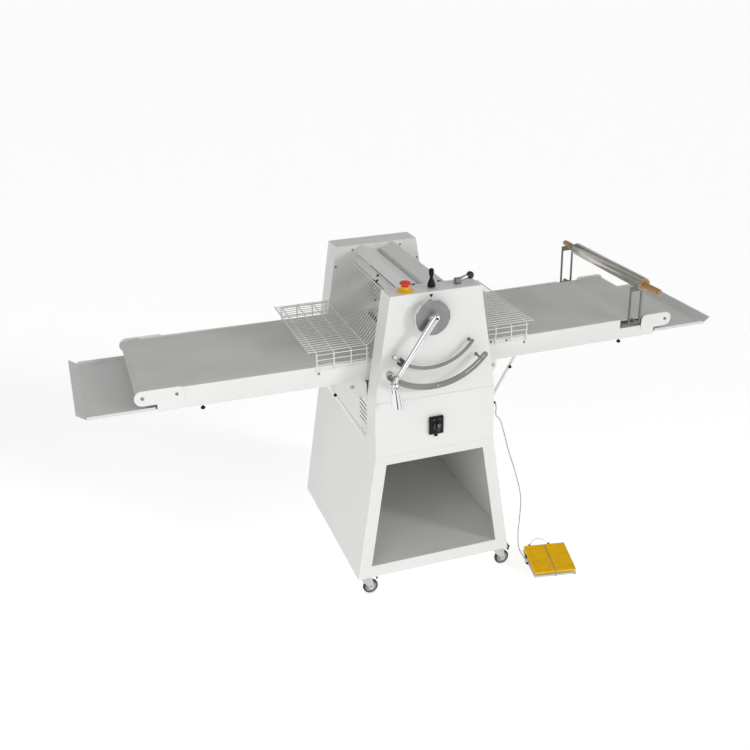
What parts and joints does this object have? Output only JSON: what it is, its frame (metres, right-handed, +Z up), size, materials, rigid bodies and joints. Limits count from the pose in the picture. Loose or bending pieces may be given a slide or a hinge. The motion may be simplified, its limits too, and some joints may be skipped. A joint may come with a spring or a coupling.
{
  "type": "dough sheeter",
  "caption": "Floor-standing dough sheeter: wheeled sheet-metal base, roller head with gap lever, two belt tables, wire guards, catch trays, rolling pin and foot pedal.",
  "frame": {"origin": "middle of the footprint on the floor", "axes": "+X along the tables towards the rolling pin, -Y towards the operator, +Z up"},
  "size_m": [2.4574, 0.8798, 1.2751],
  "materials": {
    "cabinet_body": "fine textured light grey-white powder coat",
    "floor_pan": "light grey powder coat",
    "front_panel": "fine textured light grey-white powder coat",
    "switch_panel": "fine textured light grey-white powder coat",
    "main_switch": "black",
    "switch_knob": "black",
    "gear_motor": "dark blue-grey",
    "console_housing": "fine textured light grey-white powder coat",
    "console_cover": "fine textured light grey-white powder coat",
    "rear_housing": "fine textured light grey-white powder coat",
    "head_cover": "fine textured light grey-white powder coat",
    "hinge_bracket_left": "zinc-plated, satin",
    "hinge_bracket_right": "zinc-plated, satin",
    "guard_left": "white coated wire",
    "guard_right": "white coated wire",
    "upper_roller": "hard chromed, polished",
    "lower_roller": "hard chromed, polished",
    "roller_carriage": "machined",
    "table_support_left": "fine textured light grey-white powder coat",
    "table_support_right": "fine textured light grey-white powder coat",
    "table_frame_left": "fine textured light grey-white powder coat",
    "table_frame_right": "fine textured light grey-white powder coat",
    "belt_left": "light grey woven conveyor belt",
    "belt_right": "light grey woven conveyor belt",
    "drive_roller_left": "rubber covered",
    "drive_roller_right": "rubber covered",
    "end_roller_left": "zinc-plated, satin",
    "end_roller_right": "zinc-plated, satin",
    "end_yoke_left": "fine textured light grey-white powder coat",
    "end_yoke_right": "fine textured light grey-white powder coat",
    "catch_tray_left": "light grey",
    "catch_tray_right": "light grey",
    "rail_knob_left": "black",
    "rail_knob_right": "black",
    "pin_fork_front": "zinc-plated, satin",
    "pin_fork_back": "zinc-plated, satin",
    "pin_tube": "brushed",
    "pin_handles": "oiled beech",
    "gap_dial": "turned, chromed rim",
    "gap_lever": "polished",
    "lever_handle": "polished",
    "inner_arc": "zinc-plated, satin",
    "outer_arc": "zinc-plated, satin",
    "stop_clamp": "black with a plated knob",
    "estop_base": "yellow",
    "estop_button": "red",
    "joystick": "black",
    "ball_lever": "black ball on a plated rod",
    "pedal_base": "ochre",
    "pedal_left": "yellow",
    "pedal_right": "yellow",
    "pedal_cord": "light grey sheath",
    "caster_fork_front_left": "zinc-plated",
    "caster_wheel_front_left": "grey rubber",
    "caster_fork_front_right": "zinc-plated",
    "caster_wheel_front_right": "grey rubber",
    "caster_fork_back_left": "zinc-plated",
    "caster_wheel_back_left": "grey rubber",
    "caster_fork_back_right": "zinc-plated",
    "caster_wheel_back_right": "grey rubber"
  },
  "bodies": {
    "frame": {"cabinet_body": "cabinet_body", "floor_pan": "floor_pan", "front_panel": "front_panel", "switch_panel": "switch_panel", "main_switch": "main_switch", "gear_motor": "gear_motor", "console_housing": "console_housing", "console_cover": "console_cover", "rear_housing": "rear_housing", "head_cover": "head_cover", "hinge_bracket_left": "hinge_bracket_left", "hinge_bracket_right": "hinge_bracket_right", "table_support_left": "table_support_left", "table_support_right": "table_support_right", "table_frame_left": "table_frame_left", "table_frame_right": "table_frame_right", "belt_left": "belt_left", "belt_right": "belt_right", "end_yoke_left": "end_yoke_left", "end_yoke_right": "end_yoke_right", "inner_arc": "inner_arc", "outer_arc": "outer_arc", "estop_base": "estop_base", "pin_fork_front": "pin_fork_front", "pin_fork_back": "pin_fork_back", "pedal_base": "pedal_base", "pedal_cord": "pedal_cord"},
    "lower_roller": {"lower_roller": "lower_roller"},
    "upper_carriage": {"roller_carriage": "roller_carriage"},
    "upper_roller": {"upper_roller": "upper_roller"},
    "drive_roller_left": {"drive_roller_left": "drive_roller_left"},
    "drive_roller_right": {"drive_roller_right": "drive_roller_right"},
    "end_roller_left": {"end_roller_left": "end_roller_left"},
    "end_roller_right": {"end_roller_right": "end_roller_right"},
    "guard_left": {"guard_left": "guard_left"},
    "guard_right": {"guard_right": "guard_right"},
    "gap_lever": {"gap_dial": "gap_dial", "gap_lever": "gap_lever", "lever_handle": "lever_handle"},
    "stop_clamp": {"stop_clamp": "stop_clamp"},
    "estop_button": {"estop_button": "estop_button"},
    "joystick": {"joystick": "joystick"},
    "ball_lever": {"ball_lever": "ball_lever"},
    "switch_knob": {"switch_knob": "switch_knob"},
    "pedal_left": {"pedal_left": "pedal_left"},
    "pedal_right": {"pedal_right": "pedal_right"},
    "catch_tray_left": {"catch_tray_left": "catch_tray_left"},
    "catch_tray_right": {"catch_tray_right": "catch_tray_right"},
    "rail_knob_left": {"rail_knob_left": "rail_knob_left"},
    "rail_knob_right": {"rail_knob_right": "rail_knob_right"},
    "pin_spindle": {"pin_handles": "pin_handles"},
    "pin_roller": {"pin_tube": "pin_tube"},
    "caster_front_left_swivel": {"caster_fork_front_left": "caster_fork_front_left"},
    "caster_front_left_wheel": {"caster_wheel_front_left": "caster_wheel_front_left"},
    "caster_front_right_swivel": {"caster_fork_front_right": "caster_fork_front_right"},
    "caster_front_right_wheel": {"caster_wheel_front_right": "caster_wheel_front_right"},
    "caster_back_left_swivel": {"caster_fork_back_left": "caster_fork_back_left"},
    "caster_back_left_wheel": {"caster_wheel_back_left": "caster_wheel_back_left"},
    "caster_back_right_swivel": {"caster_fork_back_right": "caster_fork_back_right"},
    "caster_back_right_wheel": {"caster_wheel_back_right": "caster_wheel_back_right"}
  },
  "joints": [
    {"name": "lower_roller_spin", "type": "hinge", "parent": "frame", "child": "lower_roller", "pos_m": [0, 0.0653, 0.905], "axis": [0, 1, 0], "continuous": true},
    {"name": "roller_gap_slide", "type": "slide", "parent": "frame", "child": "upper_carriage", "axis": [0, 0, 1], "range_m": [-0.0375, 0.0017]},
    {"name": "upper_roller_spin", "type": "hinge", "parent": "upper_carriage", "child": "upper_roller", "pos_m": [0, 0.0653, 1.013], "axis": [0, 1, 0], "continuous": true},
    {"name": "drive_roller_left_spin", "type": "hinge", "parent": "frame", "child": "drive_roller_left", "pos_m": [-0.07518, 0.0653, 0.91759], "axis": [0, 1, 0], "continuous": true},
    {"name": "end_roller_left_spin", "type": "hinge", "parent": "frame", "child": "end_roller_left", "pos_m": [-1.01065, 0.0653, 0.92493], "axis": [0, 1, 0], "continuous": true},
    {"name": "drive_roller_right_spin", "type": "hinge", "parent": "frame", "child": "drive_roller_right", "pos_m": [0.07518, 0.0653, 0.91759], "axis": [0, 1, 0], "continuous": true},
    {"name": "end_roller_right_spin", "type": "hinge", "parent": "frame", "child": "end_roller_right", "pos_m": [1.01065, 0.0653, 0.92493], "axis": [0, 1, 0], "continuous": true},
    {"name": "guard_left_lift", "type": "hinge", "parent": "frame", "child": "guard_left", "pos_m": [-0.1035, 0.0653, 1.139], "axis": [0, 1, 0], "range_deg": [0, 85]},
    {"name": "guard_right_lift", "type": "hinge", "parent": "frame", "child": "guard_right", "pos_m": [0.1035, 0.0653, 1.139], "axis": [0, -1, 0], "range_deg": [0, 85]},
    {"name": "gap_lever_swing", "type": "hinge", "parent": "frame", "child": "gap_lever", "pos_m": [-0.0266, -0.295, 1.124], "axis": [0, -1, 0], "range_deg": [-4, 89]},
    {"name": "stop_clamp_shift", "type": "hinge", "parent": "frame", "child": "stop_clamp", "pos_m": [-0.0266, -0.295, 1.124], "axis": [0, -1, 0], "range_deg": [-4, 85]},
    {"name": "estop_push", "type": "slide", "parent": "frame", "child": "estop_button", "axis": [0, 0, -1], "range_m": [0, 0.005], "stiffness_N_per_m": 400, "springref_m": -0.003},
    {"name": "joystick_tilt", "type": "hinge", "parent": "frame", "child": "joystick", "pos_m": [-0.0035, -0.2557, 1.2061], "axis": [0, 1, 0], "range_deg": [-10, 10], "stiffness_Nm_per_rad": 1.5},
    {"name": "ball_lever_turn", "type": "hinge", "parent": "frame", "child": "ball_lever", "pos_m": [0.0965, -0.2502, 1.2061], "axis": [0, 0, 1], "range_deg": [-45, 45]},
    {"name": "main_switch_turn", "type": "hinge", "parent": "frame", "child": "switch_knob", "pos_m": [0, -0.3073, 0.695], "axis": [0, -1, 0], "range_deg": [0, 90]},
    {"name": "pedal_left_press", "type": "hinge", "parent": "frame", "child": "pedal_left", "pos_m": [0.45146, -0.26042, 0.036], "axis": [0.9816, -0.1908, 0], "range_deg": [0, 2.4], "stiffness_Nm_per_rad": 25, "springref_deg": -5.73},
    {"name": "catch_tray_left_slide", "type": "slide", "parent": "frame", "child": "catch_tray_left", "axis": [-1, 0, 0.0079], "range_m": [0, 0.05]},
    {"name": "rail_knob_left_turn", "type": "hinge", "parent": "frame", "child": "rail_knob_left", "pos_m": [-0.8131, -0.183, 0.86658], "axis": [0, 0, 1], "continuous": true},
    {"name": "pedal_right_press", "type": "hinge", "parent": "frame", "child": "pedal_right", "pos_m": [0.52999, -0.27568, 0.036], "axis": [0.9816, -0.1908, 0], "range_deg": [0, 2.4], "stiffness_Nm_per_rad": 25, "springref_deg": -5.73},
    {"name": "catch_tray_right_slide", "type": "slide", "parent": "frame", "child": "catch_tray_right", "axis": [1, 0, 0.0079], "range_m": [0, 0.05]},
    {"name": "rail_knob_right_turn", "type": "hinge", "parent": "frame", "child": "rail_knob_right", "pos_m": [0.8131, -0.183, 0.86658], "axis": [0, 0, 1], "continuous": true},
    {"name": "rolling_pin_lift", "type": "slide", "parent": "frame", "child": "pin_spindle", "axis": [0, 0, 1], "range_m": [0, 0.12]},
    {"name": "rolling_pin_spin", "type": "hinge", "parent": "pin_spindle", "child": "pin_roller", "pos_m": [0.87079, 0.0653, 1.09734], "axis": [0, 1, 0], "continuous": true},
    {"name": "caster_front_left_turn", "type": "hinge", "parent": "frame", "child": "caster_front_left_swivel", "pos_m": [-0.278, -0.2637, 0.0872], "axis": [0, 0, 1], "continuous": true},
    {"name": "caster_front_left_roll", "type": "hinge", "parent": "caster_front_left_swivel", "child": "caster_front_left_wheel", "pos_m": [-0.255, -0.2637, 0.03], "axis": [0, 1, 0], "continuous": true},
    {"name": "caster_front_right_turn", "type": "hinge", "parent": "frame", "child": "caster_front_right_swivel", "pos_m": [0.278, -0.2637, 0.0872], "axis": [0, 0, 1], "continuous": true},
    {"name": "caster_front_right_roll", "type": "hinge", "parent": "caster_front_right_swivel", "child": "caster_front_right_wheel", "pos_m": [0.301, -0.2637, 0.03], "axis": [0, 1, 0], "continuous": true},
    {"name": "caster_back_left_turn", "type": "hinge", "parent": "frame", "child": "caster_back_left_swivel", "pos_m": [-0.278, 0.3943, 0.0872], "axis": [0, 0, 1], "continuous": true},
    {"name": "caster_back_left_roll", "type": "hinge", "parent": "caster_back_left_swivel", "child": "caster_back_left_wheel", "pos_m": [-0.255, 0.3943, 0.03], "axis": [0, 1, 0], "continuous": true},
    {"name": "caster_back_right_turn", "type": "hinge", "parent": "frame", "child": "caster_back_right_swivel", "pos_m": [0.278, 0.3943, 0.0872], "axis": [0, 0, 1], "continuous": true},
    {"name": "caster_back_right_roll", "type": "hinge", "parent": "caster_back_right_swivel", "child": "caster_back_right_wheel", "pos_m": [0.301, 0.3943, 0.03], "axis": [0, 1, 0], "continuous": true}
  ],
  "couplings": [
    {"joint": "upper_roller_spin", "follows": "lower_roller_spin", "ratio": -1},
    {"joint": "drive_roller_left_spin", "follows": "lower_roller_spin", "ratio": 1.823},
    {"joint": "end_roller_left_spin", "follows": "lower_roller_spin", "ratio": 1.823},
    {"joint": "drive_roller_right_spin", "follows": "lower_roller_spin", "ratio": 1.823},
    {"joint": "end_roller_right_spin", "follows": "lower_roller_spin", "ratio": 1.823},
    {"joint": "gap_lever_swing", "follows": "roller_gap_slide", "rad_per_m": -40.957}
  ]
}
